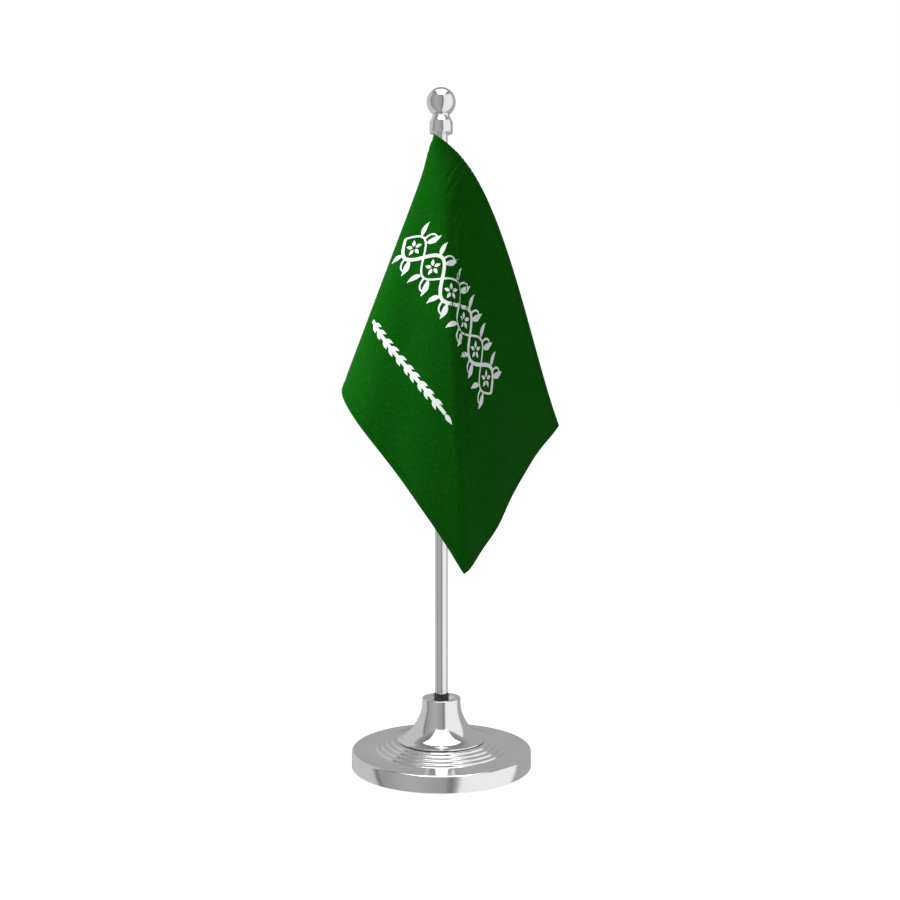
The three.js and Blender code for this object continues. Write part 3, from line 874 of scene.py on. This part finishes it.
def flag_stitches(cloth, material):
    """One row of stitches along the inner side of each hem, tapered at both ends."""
    strips = Strips(cloth)
    top = CLOTH_THICKNESS / 2 + HEM_PROUD
    for (u0, v0), (du, dv), (iu, iv), length in free_edges():
        for k in range(int((length - STITCH_LINE) / STITCH_PITCH)):
            for side in (-1, 1):
                rows = []
                for along, wide in STITCH_TAPER:
                    s = (k + 0.5) * STITCH_PITCH + along * STITCH_LENGTH
                    half = STITCH_WIDTH * wide / 2
                    insets = (STITCH_LINE - half, STITCH_LINE, STITCH_LINE + half)
                    rows.append([(u0 + du * s + iu * i, v0 + dv * s + iv * i) for i in insets])
                strips.band(rows, side * (top - STITCH_SUNK), side * (top + STITCH_PROUD))
    return strips.finish("flag_stitches", material)


# ---------------------------------------------------------------- the printed ornament

# The print starts inside the cloth and ends just proud of its face.
PRINT_LOW = 0.12 * MM
PRINT_HIGH = CLOTH_THICKNESS / 2 + 0.07 * MM

# Along the fly from the hoist, and down from the top edge.
VINE_START = 40 * MM
VINE_END = 158 * MM
VINE_HEIGHT = 56 * MM
VINE_SWING = 8 * MM
VINE_BENDS = 6
STEM_WIDTH = {-1: 1.2 * MM, 1: 2.2 * MM}
SPRIG_START = 66 * MM
SPRIG_END = 144 * MM
SPRIG_HEIGHT = 104 * MM
SPRIG_BOW = 1.5 * MM
SPRIG_WIDTH = 2.2 * MM
SPRIG_PAIRS = 10

# The length and width of each kind of leaf.
BACK_LEAF = (9.5 * MM, 3.2 * MM)
FRONT_LEAF = (10.5 * MM, 3.6 * MM)
PETAL = (4 * MM, 2.2 * MM)
PETALS = 5
FLOWER_EYE = 1.1 * MM
SPRIG_LEAF = (6.5 * MM, 2.4 * MM)
SPRIG_TIP = (7 * MM, 3 * MM)
TENDRIL_LENGTH = 16 * MM
TENDRIL_FOOT = 1.3 * MM
TENDRIL_TAPER = 0.6 * MM
BUD_RADIUS = 1.3 * MM

# The narrowest that a leaf and a bud are drawn.
LEAF_POINT = 0.18 * MM
BUD_POINT = 0.2 * MM


def stroke(strips, points, widths):
    """A drawn line of changing width along flat (u, v) points."""
    points = np.array(points)
    heading = np.gradient(points, axis=0)
    heading /= np.maximum(np.linalg.norm(heading, axis=1, keepdims=True), 1e-12)
    side = np.stack([-heading[:, 1], heading[:, 0]], axis=1)
    rows = []
    for point, across, width in zip(points, side, widths):
        rows.append([tuple(point + across * width * s) for s in (-0.5, 0, 0.5)])
    for face in (-1, 1):
        strips.band(rows, face * PRINT_LOW, face * PRINT_HIGH)


def sweep(foot, angle, length, steps, turn):
    """Flat points that set out from foot and bend by turn of the share of the way they have gone."""
    u, v = foot
    points = [foot]
    for k in range(steps):
        heading = angle + turn((k + 0.5) / steps)
        u += math.cos(heading) * length / steps
        v += math.sin(heading) * length / steps
        points.append((u, v))
    return points


def leaf(strips, foot, angle, length, width, curl):
    """A pointed leaf that bends to one side as it grows."""
    steps = 9
    points = sweep(foot, angle, length, steps, lambda t: curl * t)
    widths = [width * math.sin(math.pi * (k / steps)**0.8) for k in range(steps + 1)]
    stroke(strips, points, [max(wide, LEAF_POINT) for wide in widths])


def tendril(strips, foot, angle, length, turn):
    """A thin curl that winds up on itself and ends in a bud."""
    steps = 18
    points = sweep(foot, angle, length, steps, lambda t: turn * (0.8 * t + 4 * t * t))
    stroke(strips, points, [TENDRIL_FOOT - TENDRIL_TAPER * k / steps for k in range(steps + 1)])
    bud(strips, points[-1], BUD_RADIUS)


def bud(strips, centre, radius):
    """A small round dot."""
    steps = 8
    turns = [math.pi * k / steps for k in range(steps + 1)]
    points = [(centre[0] + radius * math.cos(turn), centre[1]) for turn in turns]
    stroke(strips, points, [max(2 * radius * math.sin(turn), BUD_POINT) for turn in turns])


def vine_at(t, side):
    """A point on one of the two stems, t of the way along the vine."""
    u = VINE_START + (VINE_END - VINE_START) * t
    v = VINE_HEIGHT + side * VINE_SWING * math.sin(math.pi * VINE_BENDS * t)
    return u, v


def vine(strips):
    """Two stems that cross and part again, with leaves and curls outside each bend and a small
    flower in the space between the stems."""
    steps = 120
    for side in (-1, 1):
        points = [vine_at(k / steps, side) for k in range(steps + 1)]
        stroke(strips, points, [STEM_WIDTH[side]] * (steps + 1))
    for bend in range(VINE_BENDS):
        t = (bend + 0.5) / VINE_BENDS
        for side in (-1, 1):
            u, v = vine_at(t, side)
            out = 1 if v > VINE_HEIGHT else -1
            leaf(strips, (u - 2 * MM, v), out * 2.3, *BACK_LEAF, -out * 0.8)
            leaf(strips, (u + 4 * MM, v - out * MM), out * 0.9, *FRONT_LEAF, out * 0.5)
            tendril(strips, (u + MM, v), out * 1.5, TENDRIL_LENGTH, -out)
        flower(strips, VINE_START + (VINE_END - VINE_START) * t, VINE_HEIGHT)


def flower(strips, u, v):
    """Petals that spread from round a small green eye."""
    for petal in range(PETALS):
        angle = 2 * math.pi * petal / PETALS
        foot = (u + FLOWER_EYE * math.cos(angle), v + FLOWER_EYE * math.sin(angle))
        leaf(strips, foot, angle, *PETAL, 0.2)


def sprig(strips):
    """A straight stem with small leaves in pairs, under the vine."""
    steps = 50
    length = SPRIG_END - SPRIG_START
    points = []
    for k in range(steps + 1):
        t = k / steps
        points.append((SPRIG_START + length * t, SPRIG_HEIGHT + SPRIG_BOW * math.sin(math.pi * t)))
    stroke(strips, points, [SPRIG_WIDTH] * (steps + 1))
    for k in range(SPRIG_PAIRS):
        foot = points[2 + k * (steps - 4) // SPRIG_PAIRS]
        for side in (-1, 1):
            leaf(strips, foot, side * 0.6, *SPRIG_LEAF, -side * 0.35)
    leaf(strips, points[-1], 0, *SPRIG_TIP, 0)


def flag_print(cloth, material):
    """The whole ornament, on both faces of the cloth."""
    strips = Strips(cloth)
    vine(strips)
    sprig(strips)
    return strips.finish("flag_print", material)


# ---------------------------------------------------------------- the flag's sleeve

SLEEVE_SEGMENTS = 48
SLEEVE_ROWS = 90
POLE_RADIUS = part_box("pole_tube")[1][0]
SLEEVE_INSIDE = POLE_RADIUS + 0.1 * MM
CREASES = 4
CREASE_HEIGHT = 0.03 * MM


def sleeve_outside(angle, share, phases):
    """The sleeve's radius where it is creased. The highest crease reaches the CAD radius."""
    crease = 0
    for k, phase in enumerate(phases):
        crease += math.sin(angle * (k + 2) + share * 23 * (k + 1) + phase)
    return SLEEVE_RADIUS + (crease - CREASES) * CREASE_HEIGHT


def flag_sleeve(material):
    """The hoist hem round the pole: a tube of cloth with soft creases."""
    segments = SLEEVE_SEGMENTS
    rows = SLEEVE_ROWS
    generator = random.Random(7)
    phases = [generator.uniform(0, 6.28) for _ in range(CREASES)]
    vertices = []
    spots = []
    for layer in (0, 1):
        for row in range(rows + 1):
            t = row / rows
            z = SLEEVE_LOW[2] + (SLEEVE_HIGH[2] - SLEEVE_LOW[2]) * t
            for i in range(segments):
                angle = 2 * math.pi * i / segments
                radius = SLEEVE_INSIDE if layer == 0 else sleeve_outside(angle, t, phases)
                vertices.append((radius * math.cos(angle), radius * math.sin(angle), z))
                spots.append((SLEEVE_RADIUS * angle, z))
    faces = []
    layer_size = (rows + 1) * segments
    for row in range(rows):
        for i in range(segments):
            a = row * segments + i
            b = row * segments + (i + 1) % segments
            faces.append((a, a + segments, b + segments, b))
            faces.append([layer_size + k for k in (a, b, b + segments, a + segments)])
    for row in (0, rows):
        for i in range(segments):
            a = row * segments + i
            b = row * segments + (i + 1) % segments
            faces.append((a, b, layer_size + b, layer_size + a))
    obj = new_object("flag_hoist_sleeve", vertices, faces, material)
    add_uv(obj, spots)
    outward(obj)
    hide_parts("flag_sleeve")
    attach(obj, "flag")
    return obj


# ---------------------------------------------------------------- build

add_camera()
add_world()
add_floor()
add_key_light()
bpy.context.scene.view_settings.view_transform = "Standard"

materials = make_materials()
slots = {row["node"]: row["material_slot"] for row in frame["record"]["subparts"]}
for name, node in frame["nodes"].items():
    node.data.materials.clear()
    node.data.materials.append(materials[slots[name]])

bodies = frame["record"]["behaviour"]["bodies"]
body_of = {node: body for body, nodes in bodies.items() for node in nodes}
# The turned nodes that get a rounder piece, and its number of facets.
facets = {
    "base_cover": FINE,
    "stem_collar": FINE,
    "base_pad": FINE,
    "collar_gasket": FINE,
    "pole_bush": SLIM,
    "pole_tube": SLIM,
    "finial_collar": SLIM,
    "finial_ball": SLIM,
}
for name, segments in facets.items():
    turned(name, segments, materials[slots[name]], body_of[name])

cloth = Cloth()
sheet = flag_sheet(cloth, materials["flag_fabric"])
hem = flag_hem(cloth, materials["flag_fabric"])
stitches = flag_stitches(cloth, materials["flag_thread"])
ornament = flag_print(cloth, materials["flag_print"])
sleeve = flag_sleeve(materials["flag_fabric"])

# The cloth stays out of the chrome's reflections.
for piece in (sheet, hem, stitches, ornament):
    piece.visible_glossy = False
